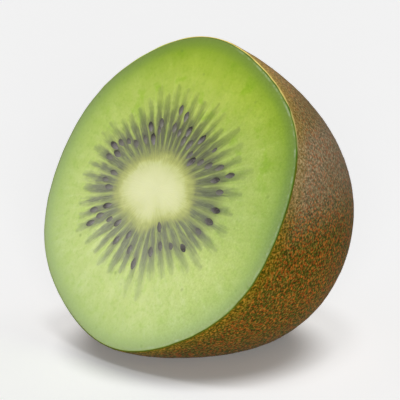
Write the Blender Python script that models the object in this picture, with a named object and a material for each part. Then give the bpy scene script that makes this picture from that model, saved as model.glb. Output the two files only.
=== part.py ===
"""Half a kiwi fruit, cut across its middle and resting on its side.

The whole fruit is shaped first, then halved at its widest ring, laid down so
that the cut face looks a little upwards, and settled onto a small flat spot.
Metres, +Z up. The origin is under the middle of the half, on the surface that
it rests on. The cut face looks towards -Y and the stem end towards +Y.
"""

import math

import bmesh
import bpy
from mathutils import Matrix, Vector

MM = 0.001

# The fruit
FRUIT_RADIUS = 25.5 * MM  # at the cut, its widest ring
HALF_LENGTH = 34.3 * MM  # from the cut to the stem end
BLUNTNESS = 2.15  # 2 is an ellipse, and more makes squarer shoulders
SWELLS = (  # (lobes round the ring, height, angle of the first crest)
    (4, 0.15 * MM, math.radians(90)),
    (5, 0.10 * MM, math.radians(190)),
    (6, 0.24 * MM, math.radians(186)),
)
SKIN_WAVES = (  # (lobes round, bends along, height)
    (3, 2.0, 0.12 * MM),
    (7, 5.0, 0.06 * MM),
)

# The stem end
HOLLOW_DEPTH = 0.9 * MM
HOLLOW_RADIUS = 4.2 * MM
SCAR_HEIGHT = 1.2 * MM
SCAR_RADIUS = 2.1 * MM

# The cut
RIM_ROUNDING = 0.7 * MM
RIM_SEGMENTS = 3

# How it lies
FACE_TILT = math.radians(27.2)  # the cut face looks up by this much
SAG_LEVEL = 25.35 * MM  # below the middle of the cut face
SAG_SOFTNESS = 1.5 * MM
SPOT_TRIM = 0.03 * MM

# Fineness of the mesh
RING_POINTS = 84
RINGS = 64
TOUCH = 0.02 * MM  # points nearer than this to a cut lie on it

SKIN_COLOUR = (0.105, 0.062, 0.022, 1.0)
FLESH_COLOUR = (0.380, 0.530, 0.130, 1.0)


def clear_scene():
    """Remove every object that the file starts with."""
    for item in list(bpy.data.objects):
        bpy.data.objects.remove(item, do_unlink=True)


def make_collection(name):
    """Return a new collection in the scene."""
    collection = bpy.data.collections.new(name)
    bpy.context.scene.collection.children.link(collection)
    return collection


def make_material(name, colour, roughness):
    """Return a plain Principled material."""
    material = bpy.data.materials.new(name)
    material.use_nodes = True
    shader = material.node_tree.nodes["Principled BSDF"]
    shader.inputs["Base Color"].default_value = colour
    shader.inputs["Roughness"].default_value = roughness
    shader.inputs["Metallic"].default_value = 0.0
    material.diffuse_color = colour
    return material


def ring_swell(angle, along):
    """Return how far the skin stands off a round ring.

    The lobes at the cut fade towards the stem end, and long waves in the skin
    rise between the cut and the stem end.
    """
    at_cut = sum(
        height * math.cos(lobes * angle - crest) for lobes, height, crest in SWELLS
    )
    over_skin = sum(
        height * math.cos(lobes * angle + bends * along) for lobes, bends, height in SKIN_WAVES
    )
    return at_cut * (1 - along) ** 2 + over_skin * math.sin(math.pi * along)


def stem_end(radius):
    """Return how far the stem end stands out at a radius from the axis."""
    hollow = HOLLOW_DEPTH * math.exp(-((radius / HOLLOW_RADIUS) ** 2))
    scar = SCAR_HEIGHT / (1 + (radius / SCAR_RADIUS) ** 6)
    return scar - hollow


def shape_fruit(bm):
    """Turn the unit ball into a whole fruit that lies along Y.

    A ring at the share `along` of the half's length follows the curve
    along**n + (ring / radius)**n = 1, where n is the bluntness.
    """
    power = 2 / BLUNTNESS
    for vert in bm.verts:
        x, y, z = vert.co
        angle = math.atan2(z, x)
        along = min(abs(y), 1.0) ** power
        ring = math.hypot(x, z) ** power
        radius = ring * (FRUIT_RADIUS + ring_swell(angle, along))
        reach = along * HALF_LENGTH + stem_end(radius) * along
        vert.co = Vector(
            (radius * math.cos(angle), math.copysign(reach, y), radius * math.sin(angle))
        )


def slice_off(bm, point, normal):
    """Cut away what lies beyond a plane and close the cut with one face."""
    geometry = bm.verts[:] + bm.edges[:] + bm.faces[:]
    bmesh.ops.bisect_plane(
        bm, geom=geometry, dist=TOUCH, plane_co=point, plane_no=normal, clear_outer=True
    )
    edge_loop = [edge for edge in bm.edges if edge.is_boundary]
    face = bmesh.ops.contextual_create(bm, geom=edge_loop)["faces"][0]
    for vert in face.verts:
        vert.co -= normal * (vert.co - point).dot(normal)
    return face


def lay_down(bm):
    """Tilt the half about X, so that the cut face looks up a little."""
    bmesh.ops.rotate(
        bm, verts=bm.verts, cent=(0, 0, 0), matrix=Matrix.Rotation(-FACE_TILT, 3, "X")
    )


def settle(bm):
    """Press the underside softly against the surface that carries it."""
    for vert in bm.verts:
        above = vert.co.z + SAG_LEVEL
        if above < -SAG_SOFTNESS:
            vert.co.z = -SAG_LEVEL
        elif above < SAG_SOFTNESS:
            vert.co.z = -SAG_LEVEL + (above + SAG_SOFTNESS) ** 2 / (4 * SAG_SOFTNESS)


def centre(bm):
    """Move the half so that it stands on Z = 0 with its box's middle at X = Y = 0."""
    lows = [min(vert.co[axis] for vert in bm.verts) for axis in range(3)]
    highs = [max(vert.co[axis] for vert in bm.verts) for axis in range(3)]
    middle = Vector(((lows[0] + highs[0]) / 2, (lows[1] + highs[1]) / 2, lows[2]))
    bmesh.ops.translate(bm, verts=bm.verts, vec=-middle)


def make_kiwi_half(collection, skin, flesh):
    """Build the half as one closed solid, skin outside and flesh on the cut."""
    bm = bmesh.new()
    bmesh.ops.create_uvsphere(
        bm,
        u_segments=RING_POINTS,
        v_segments=RINGS,
        radius=1.0,
        matrix=Matrix.Rotation(math.radians(-90), 4, "X"),
    )
    shape_fruit(bm)
    cut_face = slice_off(bm, Vector((0, 0, 0)), Vector((0, -1, 0)))
    cut_face.material_index = 1
    bmesh.ops.bevel(
        bm,
        geom=list(cut_face.edges),
        offset=RIM_ROUNDING,
        offset_type="OFFSET",
        segments=RIM_SEGMENTS,
        profile=0.5,
        affect="EDGES",
        material=1,
    )
    lay_down(bm)
    settle(bm)
    slice_off(bm, Vector((0, 0, SPOT_TRIM - SAG_LEVEL)), Vector((0, 0, -1)))
    centre(bm)
    bmesh.ops.recalc_face_normals(bm, faces=bm.faces)

    mesh = bpy.data.meshes.new("kiwi_half")
    bm.to_mesh(mesh)
    bm.free()
    mesh.materials.append(skin)
    mesh.materials.append(flesh)
    mesh.shade_smooth()
    mesh.set_sharp_from_angle(angle=math.radians(40))
    half = bpy.data.objects.new("kiwi_half", mesh)
    collection.objects.link(half)
    return half


def main():
    clear_scene()
    collection = make_collection("Kiwi fruit half")
    skin = make_material("Kiwi skin", SKIN_COLOUR, 0.75)
    flesh = make_material("Kiwi flesh", FLESH_COLOUR, 0.35)
    make_kiwi_half(collection, skin, flesh)


main()
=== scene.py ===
"""Half a kiwi fruit: moist green flesh round a pale heart, dark seeds, thin downy skin.

Metres, +Z up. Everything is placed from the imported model: the cut face gives a
plane with an outline, the rest of the model gives the skin.
"""

import math

import bpy
import numpy as np
from mathutils import Euler, Matrix, Vector


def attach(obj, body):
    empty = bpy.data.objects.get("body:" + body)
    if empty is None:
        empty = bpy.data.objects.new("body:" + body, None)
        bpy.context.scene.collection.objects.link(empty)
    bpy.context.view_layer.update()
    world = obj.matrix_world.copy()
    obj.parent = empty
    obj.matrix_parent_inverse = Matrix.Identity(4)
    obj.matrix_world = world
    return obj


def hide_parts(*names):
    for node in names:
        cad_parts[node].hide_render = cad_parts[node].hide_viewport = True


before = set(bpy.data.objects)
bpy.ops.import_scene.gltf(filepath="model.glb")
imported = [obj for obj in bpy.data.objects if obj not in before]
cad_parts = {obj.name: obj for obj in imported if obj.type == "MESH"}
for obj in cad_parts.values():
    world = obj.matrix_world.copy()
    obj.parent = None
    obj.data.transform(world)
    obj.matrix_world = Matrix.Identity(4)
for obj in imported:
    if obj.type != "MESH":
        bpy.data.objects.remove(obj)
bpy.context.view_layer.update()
bpy.ops.object.select_all(action="DESELECT")

MM = 0.001
FRUIT = "kiwi_half"
WELD = 0.001 * MM

# Skin
SKIN_THICKNESS = 0.15 * MM
SKIN_DIMPLES = 0.1 * MM  # from the lowest to the highest
DIMPLE_SIZE = 2.6 * MM
OPEN_DEPTH = 0.6 * MM  # the model's rim is taken off down to here
LIP = ((0.02, 0.25), (0.02, 0.2), (0.02, 0.13))  # steps (inwards, up) that the open edge takes, mm
RIM_WAVES = ((23, 0.05, 0.4), (37, 0.06, 2.1), (61, 0.035, 4.0))  # (round the rim, mm, start)

# Flesh
COLUMNS = 672  # points round one ring of the cut face
SHOULDER = (  # (past the flat part's edge, below the cut), in mm
    (-0.4, 0.0), (0.0, 0.002), (0.25, 0.008), (0.36, 0.02), (0.42, 0.045), (0.455, 0.09),
    (0.475, 0.16), (0.48, 0.3), (0.47, 0.5), (0.4, 1.1),
)
FLESH_INSET = 1.0 * MM  # between the hidden side of the flesh and the outside
FACE_DEPTH = 0.7 * MM  # flesh deeper than this is hidden
BLUNTNESS = 2.15  # of the hidden side: 2 is an ellipse

# The heart, seen square on: right and up from the middle of the cut
HEART_MIDDLE = (-1.8 * MM, 0.0)
HEART_RADII = (6.6, 5.3, 4.4, 4.5, 4.7, 5.9, 7.2, 6.4, 5.1, 5.0, 3.8, 5.8)  # mm, each 30 degrees
DARK_RING_RADII = (13.2, 12.3, 11.4, 10.8, 10.4, 11.2, 12.3, 11.4, 10.2, 10.4, 11.2, 12.4)

# Seed chambers round the heart: (angle in degrees, how far out they reach in mm)
CHAMBERS = (
    (-28, 14.6), (-22, 17.0), (-12, 17.0), (-2, 16.4), (9, 17.0), (19.5, 18.6), (28, 16.3),
    (35.5, 16.8), (44.5, 17.0), (51.5, 14.4), (58.5, 15.9), (66.5, 16.2), (76, 15.2),
    (84, 15.9), (92, 16.1), (99, 16.6), (106, 15.2), (112.5, 16.7), (120, 15.5),
    (128, 14.9), (136, 14.9), (143, 15.2), (149.5, 16.6), (157, 16.7), (165.5, 16.5),
    (174, 16.1), (182, 16.4), (189.5, 15.5), (198, 16.0), (206.5, 15.7), (214.5, 16.5),
    (225, 15.2), (234, 14.4), (244, 14.9), (254, 14.7), (263.5, 13.6), (273, 16.9),
    (282, 17.0), (290, 14.2), (299, 14.3), (307.5, 14.4), (317, 15.7), (326, 16.8),
)
CHAMBER_FILL = 0.5  # half a chamber's share of the room between two neighbours
CHAMBER_WIDEST = 0.74 * MM  # half a chamber, at most
CHAMBER_SOFTNESS = 0.58 * MM
WALL_STRENGTH = 0.25  # of the pale walls between the chambers

# Seeds: (angle in degrees, distance from the middle of the cut in mm, how proud it sits)
SEED_LENGTH = 2.15 * MM
SEED_WIDTH = 1.05 * MM
SEED_DEPTH = 0.8 * MM
SEEDS = (
    (94, 12.3, 0.7), (85.5, 10.2, 1.0), (67, 10.2, 1.0), (59.5, 6.5, 1.0), (48.7, 7.7, 0.4),
    (38.7, 9.0, 0.5), (31.4, 11.1, 0.5), (22.6, 13.0, 0.8), (21.5, 10.1, 0.9),
    (10.9, 11.1, 0.3), (-3.5, 11.5, 1.0), (-13.4, 11.2, 0.8), (-24.9, 10.5, 0.4),
    (-44.6, 10.7, 0.9), (-56.8, 9.3, 0.3), (-70.7, 8.5, 0.3), (-75.5, 5.6, 0.7),
    (-82, 9.4, 0.5), (-96.2, 12.0, 0.7), (-107.4, 10.4, 0.3), (-119.1, 9.0, 0.4),
    (-125.2, 11.3, 0.7), (-138.7, 10.0, 0.8), (-146.2, 11.3, 0.5), (-158.2, 11.8, 1.0),
    (-152.5, 13.4, 0.5), (-149.6, 15.4, 0.8), (-157.8, 14.6, 0.4), (-173.4, 12.2, 0.5),
    (-178.3, 13.3, 0.3), (175.3, 12.1, 0.5), (166.9, 14.6, 0.4), (162.4, 13.2, 0.8),
    (159.6, 14.9, 1.0), (155.1, 14.0, 0.4), (150.2, 12.7, 0.3), (146.3, 11.2, 0.4),
    (136.9, 10.7, 0.4), (128.4, 9.8, 1.0), (128.3, 12.1, 0.9), (117.9, 11.8, 0.7),
    (120.4, 10.7, 0.3), (100.4, 13.3, 0.6), (103.9, 10.4, 0.5), (97.1, 9.7, 0.3),
    (88.6, 8.3, 0.5), (77.9, 8.1, 0.6), (69, 7.0, 0.5), (48.5, 10.9, 0.1),
)

# The stem scar's section: (distance from its axis, how far past the stem end), in mm
SCAR_SECTION = (
    (0.0, 0.04), (0.3, 0.05), (0.6, 0.12), (0.95, 0.22), (1.3, 0.24), (1.6, 0.12), (1.8, -0.1),
    (1.95, -0.4), (1.95, -1.0), (1.0, -1.1), (0.0, -1.1),
)
SCAR_STEPS = 32
SCAR_BUMPS = 0.16 * MM  # from the lowest to the highest
SCAR_BUMP_SIZE = 0.9 * MM

# Down on the skin
HAIRS = 9000
HAIR_LENGTH = (0.25 * MM, 0.6 * MM)
HAIR_THICKNESS = 0.022 * MM
HAIR_ROOT = 0.02 * MM  # how deep a hair stands in the skin
BARE_RIM = 0.9 * MM  # no hairs nearer to the cut, to the floor and to the stem end
BARE_FLOOR = 0.4 * MM
BARE_STEM = 2.2 * MM

# Floor, light and camera
FLOOR_SIZE = 8.0
FLOOR_GLOW = 0.036  # under the fruit, where it makes a painted shadow
OPEN_GLOW = 0.447  # what the floor glows more outside the painted shadow
NEAR_GLOW = 0.028  # painted light: what it glows more again close to the fruit, round the painted shadow
PAINTED_SHADOW = (2.9 * MM, -7.2 * MM)  # middle of the painted shadow, an oval patch that glows less
PAINTED_SHADOW_SIZE = (20.6 * MM, 20.3 * MM)  # half its length across the view, and into it
PAINTED_SHADOW_EDGE = (0.72, 1.14)  # where the glow starts to rise and is full, in such halves
NEAR_EDGE = (1.7, 1.0)  # where the extra glow starts to rise and is full
ROOM_LIGHT = 0.12
VIEW_SIDE = 46.2  # the camera stands this many degrees to the right of the front
VIEW_LIFT = 15.0  # and this many up
VIEW_DISTANCE = 0.35
VIEW_AIM = (5.58 * MM, -1.26 * MM)  # right and up of the middle of the cut
LENS = 202.0
LIGHT_DISTANCE = 12.0
LIGHTS = (  # (name, degrees from the front to the right, degrees up, size, power)
    ("overhead", 0, 90, 3.0, 216.0),
    ("behind", 180, 45, 9.0, 206.0),
    ("front", 46, 10, 4.8, 1130.0),
)

random = np.random.default_rng(11)


# ---------------------------------------------------------------- small helpers


def srgb(red, green, blue):
    """Return a colour given as 0 to 255 as a linear one."""
    parts = []
    for value in (red, green, blue):
        share = value / 255
        parts.append(share / 12.92 if share <= 0.04045 else ((share + 0.055) / 1.055) ** 2.4)
    return (*parts, 1.0)


def smooth(low, high, value):
    """Return 0 at low, 1 at high and an S curve between them; high may be the lower one."""
    share = np.clip((value - low) / (high - low), 0.0, 1.0)
    return share * share * (3 - 2 * share)


def points_of(mesh):
    """Return a mesh's points as an array."""
    points = np.empty(len(mesh.vertices) * 3)
    mesh.vertices.foreach_get("co", points)
    return points.reshape(-1, 3)


def put_points(mesh, points):
    mesh.vertices.foreach_set("co", points.ravel())
    mesh.update()


def put_values(mesh, name, values):
    """Store one number, or one vector, for each point of a mesh."""
    if values.ndim == 1:
        layer = mesh.attributes.new(name, "FLOAT", "POINT")
        layer.data.foreach_set("value", values.astype(np.float32))
    else:
        layer = mesh.attributes.new(name, "FLOAT_VECTOR", "POINT")
        layer.data.foreach_set("vector", values.astype(np.float32).ravel())


def only(item):
    """Select one object alone and make it the active one."""
    bpy.ops.object.select_all(action="DESELECT")
    item.select_set(True)
    bpy.context.view_layer.objects.active = item


def bake_place(item):
    """Put an object's place into its mesh, so that it sits unturned at the origin."""
    only(item)
    bpy.ops.object.transform_apply(location=True, rotation=True, scale=True)


def apply_modifiers(item):
    only(item)
    for modifier in list(item.modifiers):
        bpy.ops.object.modifier_apply(modifier=modifier.name)


def roughen(item, size, depth):
    """Push a surface in and out by soft bumps of some size."""
    texture = bpy.data.textures.new("bumps", "CLOUDS")
    texture.noise_scale = size
    bumps = item.modifiers.new("bumps", "DISPLACE")
    bumps.texture = texture
    bumps.strength = depth
    bumps.mid_level = 0.5
    apply_modifiers(item)


def draw_chain(name, points):
    """Draw a chain of edges through some points, extruding one point on and on."""
    bpy.ops.object.select_all(action="DESELECT")
    bpy.ops.mesh.primitive_plane_add(size=MM, location=points[0])
    chain = bpy.context.object
    chain.name = name
    bpy.ops.object.mode_set(mode="EDIT")
    bpy.ops.mesh.select_mode(type="VERT")
    bpy.ops.mesh.merge(type="CENTER")
    for start, end in zip(points, points[1:]):
        bpy.ops.mesh.extrude_vertices_move(TRANSFORM_OT_translate={"value": end - start})
    bpy.ops.object.mode_set(mode="OBJECT")
    return chain


def spin_chain(chain, centre, axis, steps):
    """Turn a chain all the way round an axis and close its seam and poles."""
    only(chain)
    bpy.ops.object.mode_set(mode="EDIT")
    bpy.ops.mesh.select_all(action="SELECT")
    bpy.ops.mesh.spin(steps=steps, angle=2 * math.pi, center=centre, axis=axis)
    bpy.ops.mesh.select_all(action="SELECT")
    bpy.ops.mesh.remove_doubles(threshold=WELD)
    bpy.ops.mesh.normals_make_consistent(inside=False)
    bpy.ops.object.mode_set(mode="OBJECT")
    bake_place(chain)


def finish(item, material):
    """Give a piece its material and slot, and let it ride on the fruit."""
    item.data.materials.clear()
    item.data.materials.append(material)
    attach(item, "root")


# ---------------------------------------------------------------- the cut, read from the model


class Cut:
    """The flat part of the cut face: its middle, its axes and its outline."""

    def __init__(self, node):
        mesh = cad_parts[node].data
        widest = max(mesh.polygons, key=lambda face: face.area)
        self.normal = widest.normal.normalized()
        self.across = Vector((1.0, 0.0, 0.0))
        self.upward = self.normal.cross(self.across)
        points = points_of(mesh)
        level = np.dot(widest.center, self.normal)
        heights = points @ np.array(self.normal) - level
        rim = points[np.abs(heights) < 0.01 * MM]
        x = rim @ np.array(self.across)
        y = rim @ np.array(self.upward)
        middle_x = (x.min() + x.max()) / 2
        middle_y = (y.min() + y.max()) / 2
        self.middle = self.normal * level + self.across * middle_x + self.upward * middle_y
        angles = np.arctan2(y - middle_y, x - middle_x)
        order = np.argsort(angles)
        self.rim_angles = angles[order]
        self.rim_radii = np.hypot(x - middle_x, y - middle_y)[order]
        self.radius = float(self.rim_radii.mean())
        self.depth = float(-heights.min())  # from the cut to the stem end

    def rim_at(self, angles):
        """Return how far the flat part reaches at some angles."""
        return np.interp(angles, self.rim_angles, self.rim_radii, period=2 * math.pi)

    def at(self, x, y, height):
        """Return the place that lies x across, y up the cut and some height out of it."""
        return self.middle + self.across * x + self.upward * y + self.normal * height

    def measure(self, points):
        """Return how far across, up the cut and out of it some points lie."""
        axes = np.array((self.across, self.upward, self.normal))
        return (points - np.array(self.middle)) @ axes.T

    def unmeasure(self, measures):
        axes = np.array((self.across, self.upward, self.normal))
        return measures @ axes + np.array(self.middle)


cut = Cut(FRUIT)


# ---------------------------------------------------------------- materials


class Finish:
    """A material's nodes, with a short way to add each kind that is used here."""

    def __init__(self, name):
        self.material = bpy.data.materials.new(name)
        self.material.use_nodes = True
        self.tree = self.material.node_tree
        self.shader = self.tree.nodes["Principled BSDF"]

    def plug(self, value, socket):
        """Link an output to a socket, or set the socket to a plain value."""
        if isinstance(value, bpy.types.NodeSocket):
            self.tree.links.new(value, socket)
        else:
            socket.default_value = value

    def node(self, kind, **sockets):
        """Add a node and fill its input sockets by name."""
        node = self.tree.nodes.new(kind)
        for name, value in sockets.items():
            self.plug(value, node.inputs[name.replace("_", " ")])
        return node

    def number(self, name):
        """Read one of the piece's own numbers."""
        node = self.node("ShaderNodeAttribute")
        node.attribute_name = name
        return node.outputs["Fac"]

    def vector(self, name):
        """Read one of the piece's own vectors."""
        node = self.node("ShaderNodeAttribute")
        node.attribute_name = name
        return node.outputs["Vector"]

    def place(self):
        return self.node("ShaderNodeTexCoord").outputs["Object"]

    def turned(self, vector, turn):
        return self.node("ShaderNodeMapping", Vector=vector, Rotation=turn).outputs[0]

    def from_patch(self, vector, middle, size, turn):
        """Return how far places lie from an oval patch's middle: 1 on its edge."""
        inside = self.node(
            "ShaderNodeMapping", Vector=vector, Location=middle, Rotation=(0, 0, turn), Scale=size
        )
        inside.vector_type = "TEXTURE"
        length = self.node("ShaderNodeVectorMath")
        length.operation = "LENGTH"
        self.plug(inside.outputs[0], length.inputs[0])
        return length.outputs["Value"]

    def noise(self, vector, scale, detail=2.0, roughness=0.5, distortion=0.0):
        node = self.node(
            "ShaderNodeTexNoise", Vector=vector, Scale=scale, Detail=detail,
            Roughness=roughness, Distortion=distortion,
        )
        return node.outputs["Fac"]

    def cells(self, vector, scale):
        """Return round cells as (distance from each one's middle, a random number each)."""
        node = self.node("ShaderNodeTexVoronoi", Vector=vector, Scale=scale)
        split = self.node("ShaderNodeSeparateColor", Color=node.outputs["Color"])
        return node.outputs["Distance"], split.outputs["Red"]

    def math(self, operation, first, second=0.0):
        node = self.node("ShaderNodeMath")
        node.operation = operation
        self.plug(first, node.inputs[0])
        self.plug(second, node.inputs[1])
        return node.outputs["Value"]

    def times(self, first, second):
        return self.math("MULTIPLY", first, second)

    def between(self, value, low, high, start=0.0, end=1.0):
        """Map low to start and high to end with an S curve, and hold outside."""
        node = self.node(
            "ShaderNodeMapRange", Value=value, From_Min=low, From_Max=high, To_Min=start, To_Max=end
        )
        node.interpolation_type = "SMOOTHSTEP"
        return node.outputs["Result"]

    def ramp(self, value, *stops):
        """Return a colour that runs through stops of (place, colour)."""
        node = self.node("ShaderNodeValToRGB", Fac=value)
        elements = node.color_ramp.elements
        elements[0].position, elements[0].color = stops[0]
        elements[1].position, elements[1].color = stops[-1]
        for place, colour in stops[1:-1]:
            elements.new(place).color = colour
        return node.outputs["Color"]

    def blend(self, share, first, second, mode="MIX"):
        """Lay the second colour over the first by a share."""
        node = self.node("ShaderNodeMix")
        node.data_type = "RGBA"
        node.blend_type = mode
        self.plug(share, node.inputs[0])
        self.plug(first, node.inputs[6])
        self.plug(second, node.inputs[7])
        return node.outputs[2]

    def tint(self, share, colour, red, green, blue):
        """Multiply a colour's red, green and blue by some factors, by a share."""
        return self.blend(share, colour, (red, green, blue, 1.0), "MULTIPLY")

    def bump(self, height, strength, distance):
        node = self.node("ShaderNodeBump", Strength=strength, Distance=distance, Height=height)
        self.plug(node.outputs["Normal"], self.shader.inputs["Normal"])

    def set(self, **sockets):
        for name, value in sockets.items():
            self.plug(value, self.shader.inputs[name.replace("_", " ")])
        return self.material


def flesh_material():
    """Moist green flesh: pale heart, olive ring, grey-green chambers, dark line at the skin."""
    flesh = Finish("kiwi flesh")
    from_heart = flesh.number("from_heart")
    to_skin = flesh.number("to_skin")
    chamber = flesh.number("chamber")
    wall = flesh.number("wall")
    ring_fill = flesh.number("ring_fill")
    seed_shade = flesh.number("seed_shade")
    painted_sheen_side = flesh.number("painted_sheen_side")
    spokes = flesh.vector("spokes")
    place = flesh.place()

    fibres = flesh.noise(spokes, 1.0, 2.0, 0.6)
    fine_fibres = flesh.noise(spokes, 2.1, 2.0, 0.6)
    bands = flesh.noise(spokes, 0.42, 1.0, 0.5)
    mottle = flesh.noise(place, 600.0, 3.0, 0.55)
    clouds = flesh.noise(place, 130.0, 2.0, 0.5)
    blotches = flesh.noise(place, 1300.0, 2.0, 0.5)
    grain = flesh.noise(place, 3000.0, 2.0, 0.6)
    speck, luck = flesh.cells(place, 480.0)
    rag = flesh.noise(place, 800.0, 2.0, 0.6)
    patches = flesh.noise(place, 320.0, 3.0, 0.6)

    depth = flesh.math("DIVIDE", to_skin, 10.0)
    # the greyer stop at 0.03, about 0.3 mm from the skin, is a painted gloss highlight on the flesh's
    # rounded edge
    rich = flesh.ramp(
        depth,
        (0.0, srgb(57, 104, 0)),
        (0.015, srgb(97, 132, 21)),
        (0.03, srgb(132, 153, 80)),
        (0.05, srgb(130, 155, 69)),
        (0.145, srgb(136, 164, 60)),
        (0.24, srgb(152, 180, 55)),
        (0.44, srgb(171, 195, 66)),
        (0.7, srgb(182, 203, 78)),
        (1.0, srgb(182, 201, 83)),
    )
    # painted reflection: this paler, greyer copy of the flesh colours is used towards the lower left,
    # for the bright surround mirrored in the wet cut
    pale = flesh.ramp(
        depth,
        (0.0, srgb(101, 127, 39)),
        (0.015, srgb(149, 168, 101)),
        (0.03, srgb(164, 183, 123)),
        (0.05, srgb(170, 191, 127)),
        (0.145, srgb(180, 203, 132)),
        (0.24, srgb(190, 212, 134)),
        (0.44, srgb(201, 221, 139)),
        (0.7, srgb(210, 227, 146)),
        (1.0, srgb(212, 229, 148)),
    )
    colour = flesh.blend(painted_sheen_side, rich, pale)
    # painted highlight: a ragged pale grey line just inside the skin on the right, the light mirrored
    # in the flesh's rounded edge
    painted_gloss_line = flesh.times(
        flesh.between(to_skin, 0.2, 0.32), flesh.between(to_skin, 0.7, 0.4)
    )
    painted_gloss_line = flesh.times(painted_gloss_line, flesh.between(rag, 0.48, 0.64, 0.05, 0.55))
    painted_gloss_line = flesh.times(painted_gloss_line, flesh.number("right_edge"))
    colour = flesh.blend(painted_gloss_line, colour, srgb(183, 200, 158))
    deep = flesh.between(to_skin, 0.8, 4.0)
    for pattern, start, full, strength, factors in (
        (mottle, 0.42, 0.68, 0.3, (0.86, 0.95, 0.66)),
        (clouds, 0.42, 0.68, 0.5, (1.12, 1.08, 1.2)),
        (fibres, 0.5, 0.75, 0.6, (1.12, 1.08, 1.3)),
        (bands, 0.45, 0.7, 0.5, (1.13, 1.09, 1.3)),
        (blotches, 0.5, 0.3, 0.7, (0.86, 0.93, 0.75)),
    ):
        strong = flesh.times(deep, flesh.between(pattern, start, full, 0.0, strength))
        colour = flesh.tint(strong, colour, *factors)
    patched = flesh.times(deep, flesh.between(patches, 0.53, 0.68, 0.0, 0.8))
    patched = flesh.times(patched, flesh.between(painted_sheen_side, 0.55, 0.2))
    colour = flesh.tint(patched, colour, 0.78, 0.92, 0.5)
    # dark grain of the flesh itself, and painted glints, both stronger towards the right
    grain_and_glints = flesh.number("grain_and_glint_side")
    dark_grain = flesh.times(grain_and_glints, flesh.between(grain, 0.5, 0.3))
    colour = flesh.tint(dark_grain, colour, 0.35, 0.45, 0.15)
    # painted glints: bright bluish specks for the sparkle of the wet cut
    painted_glints = flesh.times(grain_and_glints, flesh.between(grain, 0.5, 0.7))
    colour = flesh.tint(painted_glints, colour, 1.6, 1.5, 2.2)
    chosen = flesh.math("GREATER_THAN", luck, 0.8)
    dot = flesh.times(chosen, flesh.between(speck, 0.2, 0.05, 0.0, 0.35))
    colour = flesh.blend(dot, colour, srgb(110, 147, 57))
    colour = flesh.blend(wall, colour, srgb(205, 217, 136))

    # painted reflection: the second colour of each pair is the paler copy for the lower left
    ring_colour = flesh.blend(painted_sheen_side, srgb(86, 89, 42), srgb(174, 180, 135))
    lobe_colour = flesh.blend(painted_sheen_side, srgb(71, 72, 47), srgb(155, 159, 138))
    chamber_colour = flesh.blend(flesh.between(chamber, 0.2, 0.9), ring_colour, lobe_colour)
    tip_colour = flesh.blend(painted_sheen_side, srgb(97, 113, 48), srgb(165, 180, 131))
    chamber_colour = flesh.blend(flesh.between(from_heart, 6.0, 11.0), chamber_colour, tip_colour)
    chamber_colour = flesh.blend(
        flesh.between(fine_fibres, 0.5, 0.7, 0.0, 0.28), chamber_colour, srgb(177, 188, 123)
    )
    chamber_colour = flesh.blend(
        flesh.between(fine_fibres, 0.5, 0.3, 0.0, 0.36), chamber_colour, srgb(82, 84, 57)
    )
    smudge = flesh.blend(painted_sheen_side, srgb(93, 91, 75), srgb(132, 131, 119))
    smudge_share = flesh.times(seed_shade, 0.45)
    chamber_colour = flesh.blend(smudge_share, chamber_colour, smudge)
    fuzz = flesh.math("ADD", chamber, flesh.between(fibres, 0.3, 0.7, -0.22, 0.22))
    fuzz = flesh.math("ADD", fuzz, flesh.between(mottle, 0.3, 0.7, -0.12, 0.12))
    fuzz = flesh.between(fuzz, 0.06, 0.95)
    fuzz = flesh.times(fuzz, flesh.between(from_heart, 5.5, 12.5, 0.95, 0.4))
    share = flesh.math("MAXIMUM", fuzz, ring_fill)
    colour = flesh.blend(share, colour, chamber_colour)
    shaded = flesh.number("shaded_side")
    colour = flesh.tint(shaded, colour, 0.87, 0.91, 0.94)

    ragged = flesh.math("ADD", from_heart, flesh.between(fibres, 0.3, 0.7, -0.25, 0.25))
    ragged = flesh.math("ADD", ragged, flesh.between(mottle, 0.35, 0.65, -0.3, 0.3))
    ring = flesh.math("DIVIDE", flesh.math("ADD", ragged, 4.0), 7.0)
    rich_heart = flesh.ramp(
        ring,
        (0.0, srgb(239, 241, 186)),
        (0.286, srgb(234, 237, 179)),
        (0.457, srgb(226, 229, 165)),
        (0.571, srgb(213, 219, 145)),
        (0.643, srgb(196, 200, 112)),
        (0.714, srgb(176, 180, 93)),
        (0.8, srgb(160, 163, 86)),
        (1.0, srgb(136, 137, 82)),
    )
    # painted reflection: the paler copy of the heart for the lower left
    pale_heart = flesh.ramp(
        ring,
        (0.0, srgb(242, 244, 192)),
        (0.286, srgb(237, 239, 183)),
        (0.457, srgb(230, 234, 174)),
        (0.571, srgb(221, 225, 160)),
        (0.643, srgb(212, 217, 151)),
        (0.714, srgb(200, 207, 142)),
        (0.8, srgb(188, 193, 136)),
        (1.0, srgb(170, 176, 133)),
    )
    heart = flesh.blend(painted_sheen_side, rich_heart, pale_heart)
    colour = flesh.blend(flesh.between(ragged, 3.2, 0.9), colour, heart)

    relief = flesh.math("ADD", fibres, flesh.times(grain, 0.35))
    flesh.bump(relief, 0.2, 0.0001)
    return flesh.set(
        Base_Color=colour,
        Roughness=flesh.between(mottle, 0.3, 0.7, 0.38, 0.5),
        IOR=1.36,
        Subsurface_Weight=0.25,
        Subsurface_Radius=(0.9, 1.0, 0.35),
        Subsurface_Scale=0.4 * MM,
    )


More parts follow.
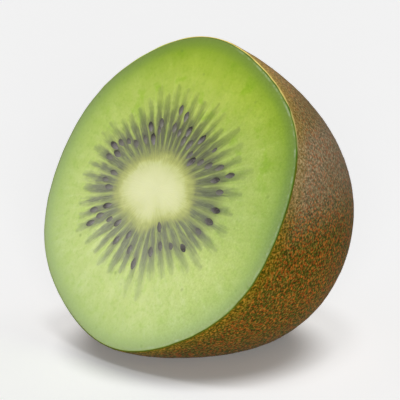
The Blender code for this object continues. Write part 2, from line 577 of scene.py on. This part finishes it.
def seed_material():
    """Dark plum seeds, paler and greyer at the end that points to the heart."""
    seed = Finish("kiwi seed")
    along = seed.number("along_seed")
    painted_sheen_side = seed.number("painted_sheen_side")
    flecks = seed.noise(seed.place(), 3500.0, 2.0, 0.5)
    sunk = seed.ramp(
        along, (0.0, srgb(119, 117, 95)), (0.4, srgb(104, 101, 88)), (1.0, srgb(84, 81, 71))
    )
    sunk_pale = seed.ramp(
        along, (0.0, srgb(138, 138, 123)), (0.4, srgb(127, 125, 119)), (1.0, srgb(110, 107, 101))
    )
    crisp = seed.ramp(
        along,
        (0.0, srgb(136, 132, 127)),
        (0.4, srgb(110, 105, 104)),
        (0.7, srgb(69, 63, 61)),
        (1.0, srgb(41, 36, 34)),
    )
    # painted reflection: seeds towards the lower left are painted paler and greyer
    colour = seed.blend(painted_sheen_side, sunk, sunk_pale)
    colour = seed.blend(seed.number("crisp"), colour, crisp)
    colour = seed.blend(seed.between(flecks, 0.4, 0.7, 0.0, 0.25), colour, srgb(142, 138, 134))
    seed.bump(flecks, 0.3, 0.00005)
    return seed.set(
        Base_Color=colour, Roughness=0.45, Coat_Weight=0.08, Coat_Roughness=0.3, IOR=1.36
    )


def skin_material():
    """Olive-brown skin, densely speckled with rust, ochre, green and dark flecks."""
    skin = Finish("kiwi skin")
    place = skin.place()
    from_cut = skin.number("from_cut")
    to_stem = skin.number("to_stem")
    height = skin.number("height")
    # painted highlight: from 19 mm up the skin turns lighter and greyer, partly its own colour and
    # partly the light from above painted in
    upper_highlight = skin.between(height, 19.0, 32.0)
    patches = skin.noise(place, 170.0, 3.0, 0.55)
    flecks = skin.noise(place, 2700.0, 2.0, 0.6)
    tone = skin.noise(skin.turned(place, (0.5, 0.2, 0.9)), 2200.0, 1.0, 0.5)
    spot, luck = skin.cells(place, 1900.0)

    low = skin.ramp(
        flecks,
        (0.34, srgb(35, 34, 6)),
        (0.44, srgb(59, 52, 12)),
        (0.5, srgb(78, 69, 19)),
        (0.56, srgb(97, 83, 27)),
        (0.66, srgb(141, 114, 48)),
    )
    high = skin.ramp(
        flecks,
        (0.34, srgb(93, 85, 62)),
        (0.44, srgb(116, 103, 78)),
        (0.5, srgb(132, 117, 89)),
        (0.56, srgb(146, 129, 98)),
        (0.66, srgb(175, 150, 117)),
    )
    colour = skin.blend(upper_highlight, low, high)
    # green, rust and flecks are painted fainter under the painted highlight
    green_above = skin.between(upper_highlight, 0.0, 1.0, 0.5, 0.15)
    green = skin.times(green_above, skin.between(tone, 0.5, 0.37))
    colour = skin.blend(green, colour, srgb(60, 74, 13))
    rust_above = skin.between(upper_highlight, 0.0, 1.0, 0.5, 0.36)
    rust = skin.times(rust_above, skin.between(tone, 0.5, 0.63))
    colour = skin.blend(rust, colour, srgb(164, 76, 23))
    fewer_above = skin.between(upper_highlight, 0.0, 1.0, 1.0, 0.4)
    chosen = skin.math("GREATER_THAN", luck, 0.6)
    spots = skin.times(chosen, skin.between(spot, 0.42, 0.2, 0.0, 0.6))
    spots = skin.times(spots, fewer_above)
    colour = skin.blend(spots, colour, srgb(192, 110, 35))
    chosen = skin.math("LESS_THAN", luck, 0.2)
    pits = skin.times(chosen, skin.between(spot, 0.42, 0.2, 0.0, 0.45))
    pits = skin.times(pits, fewer_above)
    colour = skin.blend(pits, colour, srgb(35, 37, 8))
    colour = skin.blend(skin.between(patches, 0.45, 0.7, 0.0, 0.15), colour, srgb(86, 82, 35))
    near_low = skin.ramp(
        flecks, (0.36, srgb(53, 58, 4)), (0.5, srgb(103, 89, 13)), (0.64, srgb(166, 123, 37))
    )
    # the lighter copy near the cut, higher up: the same painted highlight
    near_high = skin.ramp(
        flecks, (0.36, srgb(109, 92, 45)), (0.5, srgb(139, 119, 70)), (0.64, srgb(168, 143, 96))
    )
    near_cut = skin.blend(skin.between(height, 24.0, 31.0), near_low, near_high)
    colour = skin.blend(skin.between(from_cut, 4.0, 0.6, 0.0, 0.72), colour, near_cut)
    # the skin's cut edge, dark green low down and cream near the top, where the cream is partly the
    # edge's own paler colour and partly a painted highlight
    edge = skin.blend(skin.between(height, 33.0, 39.0), srgb(90, 94, 19), srgb(180, 170, 121))
    edge = skin.blend(skin.number("left_edge"), edge, srgb(152, 170, 111))
    colour = skin.blend(skin.between(from_cut, 0.3, 0.2), colour, edge)
    # painted highlight: lighter from 30 mm up, where light from above falls
    colour = skin.tint(skin.between(height, 30.0, 35.0, 0.0, 0.8), colour, 1.18, 1.2, 1.2)
    near_face = skin.between(from_cut, 22.0, 10.0)
    warmer = skin.times(near_face, skin.between(height, 35.0, 38.0))
    colour = skin.tint(warmer, colour, 1.0, 0.95, 0.64)
    # painted highlight: the top of the skin near the cut painted much lighter, where light from above
    # falls
    painted_top_light = skin.times(near_face, skin.between(height, 38.0, 46.0))
    colour = skin.tint(painted_top_light, colour, 2.06, 1.93, 1.77)
    # painted light: lighter and bluer near the floor, for the light bounced up from it
    colour = skin.tint(skin.between(height, 8.0, 0.0, 0.0, 0.8), colour, 1.12, 1.25, 1.5)
    colour = skin.blend(skin.between(to_stem, 4.6, 2.2, 0.0, 0.7), colour, srgb(60, 45, 27))
    skin.bump(flecks, 0.4, 0.00015)
    return skin.set(
        Base_Color=colour,
        Roughness=0.7,
        Specular_IOR_Level=0.0,
        Sheen_Weight=0.04,
        Sheen_Roughness=0.4,
        Sheen_Tint=(0.75, 0.85, 1.0, 1.0),
    )


def scar_material():
    """Dry corky brown, darker in its cracks."""
    scar = Finish("kiwi stem scar")
    grain = scar.noise(scar.place(), 1900.0, 3.0, 0.6)
    colour = scar.ramp(
        grain, (0.35, srgb(60, 45, 28)), (0.5, srgb(111, 88, 60)), (0.65, srgb(169, 141, 103))
    )
    scar.bump(grain, 0.5, 0.0002)
    return scar.set(Base_Color=colour, Roughness=0.85, Specular_IOR_Level=0.0)


def hair_material():
    """Dry short hairs from rust to ochre and dark brown."""
    hair = Finish("kiwi down")
    height = hair.number("height")
    low = hair.ramp(
        hair.number("hair_tone"),
        (0.0, srgb(41, 35, 11)),
        (0.35, srgb(74, 58, 17)),
        (0.7, srgb(115, 74, 25)),
        (1.0, srgb(141, 100, 39)),
    )
    # painted highlight: hairs higher up are lighter and greyer, as on the skin, partly their own
    # colour and partly the light from above painted in
    high = hair.ramp(
        hair.number("hair_tone"),
        (0.0, srgb(72, 64, 49)),
        (0.35, srgb(109, 92, 68)),
        (0.7, srgb(145, 115, 86)),
        (1.0, srgb(168, 143, 111)),
    )
    colour = hair.blend(hair.between(height, 19.0, 32.0), low, high)
    return hair.set(Base_Color=colour, Roughness=0.8, Specular_IOR_Level=0.0)


def floor_material():
    """Matt white that glows a little, less in an oval under the fruit: a painted shadow."""
    floor = Finish("pale floor")
    place = floor.place()
    grain = floor.noise(place, 60.0, 2.0, 0.5)
    colour = floor.blend(grain, srgb(236, 236, 236), srgb(238, 238, 238))
    turn = math.radians(VIEW_SIDE)
    # painted shadow: the glow drops in an oval under the fruit, with a ring of painted light round it
    out = floor.from_patch(place, (*PAINTED_SHADOW, 0.0), (*PAINTED_SHADOW_SIZE, 1.0), turn)
    near = floor.between(out, *NEAR_EDGE, 0.0, NEAR_GLOW)
    glow = floor.between(out, *PAINTED_SHADOW_EDGE, FLOOR_GLOW, FLOOR_GLOW + OPEN_GLOW)
    return floor.set(
        Base_Color=colour,
        Roughness=0.9,
        Specular_IOR_Level=0.0,
        Emission_Color=(1, 1, 1, 1),
        Emission_Strength=floor.math("ADD", glow, near),
    )


# ---------------------------------------------------------------- flesh


def round_curve(radii, angles):
    """Return a smooth closed curve's radius at some angles, through evenly spaced radii in mm."""
    waves = np.fft.rfft(radii) / len(radii)
    curve = np.full_like(angles, waves[0].real)
    for turns, wave in enumerate(waves[1:-1], start=1):
        curve += 2 * (wave.real * np.cos(turns * angles) - wave.imag * np.sin(turns * angles))
    return (curve + waves[-1].real * np.cos(len(radii) / 2 * angles)) * MM


def flesh_profile():
    """Return the flesh's section as (radius, height), from the middle of the cut to the stem."""
    edge = cut.radius
    radii = [0.0]
    radii += list(np.arange(0.5, 4.5, 0.5) * MM)
    radii += list(np.arange(4.5, 20.0, 0.2) * MM)
    radii += list(np.linspace(20.0 * MM, edge - 0.8 * MM, 11))
    section = [(radius, 0.0) for radius in radii]
    section += [(edge + out * MM, -down * MM) for out, down in SHOULDER]
    reach = cut.depth - FLESH_INSET
    widest = edge + 0.7 * MM - FLESH_INSET
    for share in np.sin(np.linspace(0.09, 0.5, 20) * math.pi):
        radius = widest * max(0.0, 1 - share**BLUNTNESS) ** (1 / BLUNTNESS)
        section.append((radius, -share * reach))
    return section


def seed_places():
    """Return each seed's place on the cut as (right, up, direction from the heart, proudness)."""
    places = []
    for angle, distance, proud in SEEDS:
        x = distance * MM * math.cos(math.radians(angle))
        y = distance * MM * math.sin(math.radians(angle))
        direction = math.atan2(y - HEART_MIDDLE[1], x - HEART_MIDDLE[0])
        places.append((x, y, direction, proud))
    return places


def chamber_shape(radii, angles):
    """Return how much of each point lies in a chamber, in the dark ring, and in a wall."""
    heart = round_curve(HEART_RADII, angles)
    inner = heart + 0.9 * MM
    degrees = np.degrees(angles)
    middles = np.array([angle for angle, reach in CHAMBERS])
    gaps = np.diff(np.append(middles, middles[0] + 360))
    inside = np.zeros_like(radii)
    wall = np.zeros_like(radii)
    for index, (middle, reach) in enumerate(CHAMBERS):
        apart = (degrees - middle + 180) % 360 - 180
        sideways = radii * np.radians(apart) + 0.08 * MM * np.sin(radii / MM * 1.1 + 2 * index)
        room = min(gaps[index - 1], gaps[index])
        along = (radii - inner) / (reach * MM - inner)
        tip = np.sqrt(np.clip(1 - (np.clip(along - 0.7, 0, 1) / 0.38) ** 2, 0, 1))
        widest = CHAMBER_WIDEST * (1 + 0.16 * math.sin(1.7 * index))
        half = np.minimum(radii * math.radians(room) * CHAMBER_FILL, widest) * tip
        soft = CHAMBER_SOFTNESS * (0.8 + 0.6 * smooth(0.4, 1.0, along))
        lobe = smooth(half + soft, half - soft, np.abs(sideways)) * (along < 1.08)
        inside = np.maximum(inside, lobe * (0.92 + 0.08 * math.sin(2.4 * index)))
        between = (degrees - middle - gaps[index] / 2 + 180) % 360 - 180
        thin = smooth(0.24 * MM, 0.04 * MM, np.abs(radii * np.radians(between)))
        length = smooth((reach + 3) * MM, (reach - 3) * MM, radii)
        strength = 0.7 + 0.3 * math.sin(5.1 * index + 1)
        wall = np.maximum(wall, thin * length * strength * smooth(0.0, 2 * MM, radii - inner))
    rim = round_curve(DARK_RING_RADII, angles)
    ring = smooth(2.6 * MM, -1.2 * MM, radii - rim) * (1 - 0.45 * wall)
    at_heart = smooth(0.5 * MM, 2.0 * MM, radii - heart)
    return inside * at_heart, ring * at_heart, wall


def seed_shade(x, y):
    """Return how dark the flesh is round the seeds, which also shine through it."""
    shade = np.zeros_like(x)
    for seed_x, seed_y, direction, proud in seed_places():
        right = x - seed_x
        up = y - seed_y
        along = (right * math.cos(direction) + up * math.sin(direction)) / (SEED_LENGTH / 2)
        sideways = (-right * math.sin(direction) + up * math.cos(direction)) / (SEED_WIDTH / 2)
        shade = np.maximum(shade, smooth(1.8, 0.8, np.hypot(along, sideways)))
    return shade


def painted_sheen_side(x, y):
    """Return how much a place on the cut lies on its lower left side, where a painted reflection of
    the bright surround makes the wet cut paler and greyer.
    """
    return np.clip((20 * MM - y - 0.27 * x) / (36 * MM), 0, 1)


def make_flesh():
    """Turn the flesh's section round, fit it to the outline, and work its relief and values."""
    section = [cut.at(radius, 0.0, height) for radius, height in flesh_profile()]
    flesh = draw_chain("kiwi_flesh", section)
    spin_chain(flesh, cut.middle, cut.normal, COLUMNS)
    x, y, height = cut.measure(points_of(flesh.data)).T
    angles = np.arctan2(y, x)
    radii = np.hypot(x, y)
    outline = cut.rim_at(angles) / cut.radius
    stretch = 1 + (outline - 1) * smooth(0.3 * cut.radius, cut.radius, radii)
    stretch *= 1 + (1 / outline - 1) * smooth(-3 * MM, -0.8 * cut.depth, height)
    x, y = x * stretch, y * stretch
    to_skin = (cut.radius * outline - np.hypot(x, y) + height) / MM + 0.6

    heart_x = x - HEART_MIDDLE[0]
    heart_y = y - HEART_MIDDLE[1]
    from_middle = np.hypot(heart_x, heart_y)
    around = np.arctan2(heart_y, heart_x)
    from_heart = (from_middle - round_curve(HEART_RADII, around)) / MM
    inside, ring, wall = chamber_shape(from_middle, around)
    shade = seed_shade(x, y)
    on_face = height > -FACE_DEPTH
    # the dark ring is fainter under the painted reflection on the lower left
    inside, ring = inside * on_face, ring * on_face * (0.95 - 0.3 * painted_sheen_side(x, y))
    wall, shade = wall * on_face, shade * on_face

    relief = 0.05 * MM * smooth(0.5, -2.5, from_heart) - 0.07 * MM * inside + 0.03 * MM * wall
    relief += 0.02 * MM * np.sin(x / MM * 0.9 + 1.3) * np.cos(y / MM * 0.7)
    height = height + relief * on_face * smooth(1.0, 2.6, to_skin)
    points = cut.unmeasure(np.column_stack((x, y, height)))
    points[:, 2] = np.maximum(points[:, 2], FLESH_INSET)
    put_points(flesh.data, points)

    put_values(flesh.data, "from_heart", from_heart)
    put_values(flesh.data, "to_skin", np.where(on_face, to_skin, 0.0))
    put_values(flesh.data, "chamber", inside)
    put_values(flesh.data, "ring_fill", ring)
    low_right = smooth(0.0, 12 * MM, x) * smooth(4 * MM, -6 * MM, y)
    put_values(flesh.data, "wall", wall * (WALL_STRENGTH - 0.1 * low_right))
    put_values(flesh.data, "seed_shade", shade)
    put_values(flesh.data, "painted_sheen_side", painted_sheen_side(x, y))
    # how strong the dark grain and the painted glints are
    put_values(flesh.data, "grain_and_glint_side", 0.06 + 0.08 * smooth(2 * MM, 15 * MM, x))
    shaded = smooth(2 * MM, 14 * MM, x) * smooth(-10 * MM, 0, y) * smooth(18 * MM, 8 * MM, y)
    put_values(flesh.data, "shaded_side", shaded)
    # where the painted gloss line shows
    put_values(flesh.data, "right_edge", smooth(0.0, 10 * MM, x))
    spokes = np.column_stack(
        (np.cos(around) * 26.0, np.sin(around) * 26.0, from_middle / MM * 0.35)
    )
    put_values(flesh.data, "spokes", spokes)
    only(flesh)
    bpy.ops.object.shade_smooth()
    finish(flesh, flesh_material())


# ---------------------------------------------------------------- seeds


def make_seed(x, y, direction, proud):
    """Shape one teardrop seed, its point towards the heart, sunk into the flesh."""
    size = random.uniform(0.88, 1.1)
    bpy.ops.object.select_all(action="DESELECT")
    bpy.ops.mesh.primitive_uv_sphere_add(
        segments=14, ring_count=10, radius=0.5, rotation=(0, math.pi / 2, 0)
    )
    seed = bpy.context.object
    bake_place(seed)
    points = points_of(seed.data)
    along = points[:, 0] + 0.5
    taper = 1 - 0.4 * smooth(0.6, 0.0, along) - 0.15 * smooth(0.7, 1.0, along)
    points[:, 1:] *= taper[:, None]
    put_points(seed.data, points)
    put_values(seed.data, "along_seed", along)
    put_values(seed.data, "crisp", np.full_like(along, smooth(0.6, 1.0, proud)))
    put_values(seed.data, "painted_sheen_side", np.full_like(along, painted_sheen_side(x, y)))
    seed.scale = (SEED_LENGTH * size, SEED_WIDTH * size, SEED_DEPTH * size)
    tilt = Euler((random.uniform(-0.2, 0.2), random.uniform(-0.12, 0.06), direction), "XYZ")
    stand = Matrix((cut.across, cut.upward, cut.normal)).transposed()
    seed.rotation_euler = (stand @ tilt.to_matrix()).to_euler()
    top = (0.06 + 0.24 * proud) * MM
    seed.location = cut.at(x, y, top - SEED_DEPTH * size / 2)
    bake_place(seed)
    return seed


def make_seeds():
    seeds = [make_seed(*place) for place in seed_places()]
    bpy.ops.object.select_all(action="DESELECT")
    for seed in seeds:
        seed.select_set(True)
    bpy.context.view_layer.objects.active = seeds[0]
    bpy.ops.object.join()
    joined = bpy.context.object
    joined.name = "kiwi_seeds"
    bpy.ops.object.shade_smooth()
    finish(joined, seed_material())


# ---------------------------------------------------------------- skin


def copy_model(name):
    """Copy the model's mesh into a new object, welded and back in quads."""
    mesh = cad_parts[FRUIT].data.copy()
    mesh.materials.clear()
    item = bpy.data.objects.new(name, mesh)
    bpy.context.scene.collection.objects.link(item)
    only(item)
    bpy.ops.object.mode_set(mode="EDIT")
    bpy.ops.mesh.select_all(action="SELECT")
    bpy.ops.mesh.remove_doubles(threshold=WELD)
    bpy.ops.mesh.dissolve_limited(angle_limit=math.radians(0.05))
    bpy.ops.mesh.select_all(action="SELECT")
    bpy.ops.mesh.tris_convert_to_quads()
    bpy.ops.mesh.select_all(action="DESELECT")
    bpy.ops.object.mode_set(mode="OBJECT")
    return item


def select_faces(item, wanted):
    """Select the faces whose middle a test picks, ready for edit mode."""
    only(item)
    for vert in item.data.vertices:
        vert.select = False
    for edge in item.data.edges:
        edge.select = False
    for face in item.data.polygons:
        face.select = wanted(face.center)


def open_cut(skin):
    """Take away the cut face and its rounded edge, and draw the open edge up a little."""
    select_faces(skin, lambda middle: (middle - cut.middle).dot(cut.normal) > -OPEN_DEPTH)
    bpy.ops.object.mode_set(mode="EDIT")
    bpy.ops.mesh.delete(type="FACE")
    bpy.ops.mesh.select_mode(type="EDGE")
    bpy.ops.mesh.select_non_manifold()
    for inward, up in LIP:
        bpy.ops.mesh.extrude_edges_move(
            TRANSFORM_OT_translate={"value": cut.normal * up * MM}
        )
        size = 1 - inward * MM / cut.radius
        bpy.ops.transform.resize(value=(size, size, size), center_override=cut.middle)
    bpy.ops.object.mode_set(mode="OBJECT")


def thicken(skin):
    """Smooth the skin finely, dimple it a little and give it its thickness."""
    only(skin)
    fine = skin.modifiers.new("fine", "SUBSURF")
    fine.levels = fine.render_levels = 2
    apply_modifiers(skin)
    roughen(skin, DIMPLE_SIZE, SKIN_DIMPLES)
    measures = cut.measure(points_of(skin.data))
    angles = np.arctan2(measures[:, 1], measures[:, 0])
    near_rim = smooth(-1.0 * MM, -0.3 * MM, measures[:, 2])
    near_rim *= 0.15 + 0.85 * smooth(0.0, 12 * MM, measures[:, 0])
    for turns, swing, start in RIM_WAVES:
        measures[:, 2] += swing * MM * near_rim * np.sin(turns * angles + start)
    points = cut.unmeasure(measures)
    points[:, 2] = np.maximum(points[:, 2], 0.0)
    put_points(skin.data, points)
    wall = skin.modifiers.new("wall", "SOLIDIFY")
    wall.thickness = SKIN_THICKNESS
    wall.offset = -1.0
    wall.use_even_offset = False
    apply_modifiers(skin)
    only(skin)
    bpy.ops.object.shade_smooth()


def make_skin():
    skin = copy_model("kiwi_skin")
    open_cut(skin)
    thicken(skin)
    measures = cut.measure(points_of(skin.data))
    stem = np.array((0.0, 0.0, -cut.depth))
    put_values(skin.data, "from_cut", -measures[:, 2] / MM)
    put_values(skin.data, "to_stem", np.linalg.norm(measures - stem, axis=1) / MM)
    put_values(skin.data, "height", points_of(skin.data)[:, 2] / MM)
    put_values(skin.data, "left_edge", smooth(-4 * MM, -14 * MM, measures[:, 0]))
    finish(skin, skin_material())
    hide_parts(FRUIT)
    return skin


def make_scar():
    """Model the corky button where the stem was."""
    section = [cut.at(radius * MM, 0.0, -cut.depth - out * MM) for radius, out in SCAR_SECTION]
    scar = draw_chain("kiwi_stem_scar", section)
    spin_chain(scar, cut.middle, cut.normal, SCAR_STEPS)
    roughen(scar, SCAR_BUMP_SIZE, SCAR_BUMPS)
    only(scar)
    bpy.ops.object.shade_smooth()
    finish(scar, scar_material())


# ---------------------------------------------------------------- down on the skin


def make_hair():
    """Model one hair a unit long: three sides, two bends and a tip."""
    bpy.ops.object.select_all(action="DESELECT")
    bpy.ops.mesh.primitive_circle_add(vertices=3, radius=1.0, fill_type="NGON")
    hair = bpy.context.object
    bpy.ops.object.mode_set(mode="EDIT")
    for rise, size in ((0.4, 0.85), (0.35, 0.7)):
        bpy.ops.mesh.extrude_region_move(TRANSFORM_OT_translate={"value": (0, 0, rise)})
        bpy.ops.transform.resize(value=(size, size, 1.0))
    bpy.ops.mesh.extrude_region_move(TRANSFORM_OT_translate={"value": (0, 0, 0.25)})
    bpy.ops.mesh.merge(type="CENTER")
    bpy.ops.mesh.select_all(action="SELECT")
    bpy.ops.mesh.normals_make_consistent(inside=False)
    bpy.ops.object.mode_set(mode="OBJECT")
    return hair


def scatter(skin, count):
    """Pick places on the outside of the skin, with the way out and the way to the stem."""
    mesh = skin.data
    faces = len(mesh.polygons)
    areas = np.empty(faces)
    middles = np.empty(faces * 3)
    normals = np.empty(faces * 3)
    mesh.polygons.foreach_get("area", areas)
    mesh.polygons.foreach_get("center", middles)
    mesh.polygons.foreach_get("normal", normals)
    middles = middles.reshape(-1, 3)
    normals = normals.reshape(-1, 3)
    measures = cut.measure(middles)
    outwards = cut.measure(middles + normals) - measures
    outside = np.einsum("ij,ij->i", outwards, measures - (0, 0, -0.35 * cut.depth)) > 0
    free = outside & (measures[:, 2] < -BARE_RIM) & (middles[:, 2] > BARE_FLOOR)
    free &= np.linalg.norm(measures - (0, 0, -cut.depth), axis=1) > BARE_STEM
    chances = areas * free
    chosen = random.choice(faces, size=count, p=chances / chances.sum())
    out = normals[chosen]
    to_stem = -np.array(cut.normal) - out * (out @ -np.array(cut.normal))[:, None]
    to_stem /= np.linalg.norm(to_stem, axis=1)[:, None] + 1e-9
    return middles[chosen], out, to_stem


def make_down(skin):
    """Grow short hairs over the skin, most of them lying towards the stem end."""
    hair = make_hair()
    shape = points_of(hair.data)
    faces = [tuple(face.vertices) for face in hair.data.polygons]
    bpy.data.objects.remove(hair)
    roots, out, to_stem = scatter(skin, HAIRS)
    sideways = np.cross(out, to_stem)
    roots = roots + sideways * random.normal(0, 0.1 * MM, HAIRS)[:, None]
    turn = random.normal(0, 0.7, HAIRS)[:, None]
    lie = to_stem * np.cos(turn) + sideways * np.sin(turn)
    flat = np.cross(out, lie)
    length = random.uniform(*HAIR_LENGTH, HAIRS)
    lift = np.tan(np.radians(random.uniform(1, 8, HAIRS)))
    curl = random.normal(0, 0.12, HAIRS)
    points = np.empty((HAIRS, len(shape), 3))
    for index, (across, thick, along) in enumerate(shape):
        rise = length * lift * (along - 0.55 * along**2) + thick * HAIR_THICKNESS
        aside = length * curl * along**2 + across * HAIR_THICKNESS
        points[:, index] = (
            roots
            + lie * (length * along)[:, None]
            + out * (rise - HAIR_ROOT)[:, None]
            + flat * aside[:, None]
        )
    step = len(shape)
    all_faces = [
        tuple(corner + step * number for corner in face) for number in range(HAIRS) for face in faces
    ]
    mesh = bpy.data.meshes.new("kiwi_down")
    mesh.from_pydata(points.reshape(-1, 3).tolist(), [], all_faces)
    put_values(mesh, "hair_tone", np.repeat(random.uniform(0, 1, HAIRS), step))
    put_values(mesh, "height", np.repeat(roots[:, 2] / MM, step))
    down = bpy.data.objects.new("kiwi_down", mesh)
    bpy.context.scene.collection.objects.link(down)
    only(down)
    bpy.ops.object.mode_set(mode="EDIT")
    bpy.ops.mesh.select_all(action="SELECT")
    bpy.ops.mesh.normals_make_consistent(inside=False)
    bpy.ops.object.mode_set(mode="OBJECT")
    bpy.ops.object.shade_smooth()
    finish(down, hair_material())


# ---------------------------------------------------------------- floor, light and camera


def make_floor():
    bpy.ops.object.select_all(action="DESELECT")
    bpy.ops.mesh.primitive_plane_add(size=FLOOR_SIZE, location=(0, 0, 0))
    floor = bpy.context.object
    floor.name = "floor"
    floor.data.materials.append(floor_material())


def away(azimuth, elevation):
    """Return the direction that lies to the right of the front, and up, by some angles."""
    flat = math.cos(elevation)
    return Vector((math.sin(azimuth) * flat, -math.cos(azimuth) * flat, math.sin(elevation)))


def add_light(name, place, size, power):
    """Add a square soft light that looks at the origin."""
    data = bpy.data.lights.new(name, "AREA")
    data.size = size
    data.energy = power
    light = bpy.data.objects.new(name, data)
    light.location = place
    light.rotation_euler = place.to_track_quat("Z", "Y").to_euler()
    bpy.context.scene.collection.objects.link(light)


def light_scene():
    """Light it like a small product table: a pale room, a light overhead, one behind, one in front."""
    world = bpy.data.worlds.new("pale room")
    world.use_nodes = True
    world.node_tree.nodes["Background"].inputs["Color"].default_value = (1, 1, 1, 1)
    world.node_tree.nodes["Background"].inputs["Strength"].default_value = ROOM_LIGHT
    bpy.context.scene.world = world
    for name, azimuth, elevation, size, power in LIGHTS:
        direction = away(math.radians(azimuth), math.radians(elevation))
        add_light(name, LIGHT_DISTANCE * direction, size, power)
    bpy.context.scene.view_settings.view_transform = "Standard"


def place_camera():
    """Look at the cut from its right and a little above."""
    azimuth = math.radians(VIEW_SIDE)
    back = away(azimuth, math.radians(VIEW_LIFT))
    right = Vector((math.cos(azimuth), math.sin(azimuth), 0.0))
    up = back.cross(right)
    aim = cut.middle + right * VIEW_AIM[0] + up * VIEW_AIM[1]
    data = bpy.data.cameras.new("camera")
    data.sensor_width = 36.0
    data.lens = LENS
    data.clip_start = 0.01
    camera = bpy.data.objects.new("camera", data)
    camera.location = cut.middle + back * VIEW_DISTANCE
    camera.rotation_euler = (aim - camera.location).to_track_quat("-Z", "Y").to_euler()
    bpy.context.scene.collection.objects.link(camera)
    bpy.context.scene.camera = camera


# ---------------------------------------------------------------- put together

place_camera()
light_scene()
make_floor()
make_flesh()
make_seeds()
skin = make_skin()
make_scar()
make_down(skin)
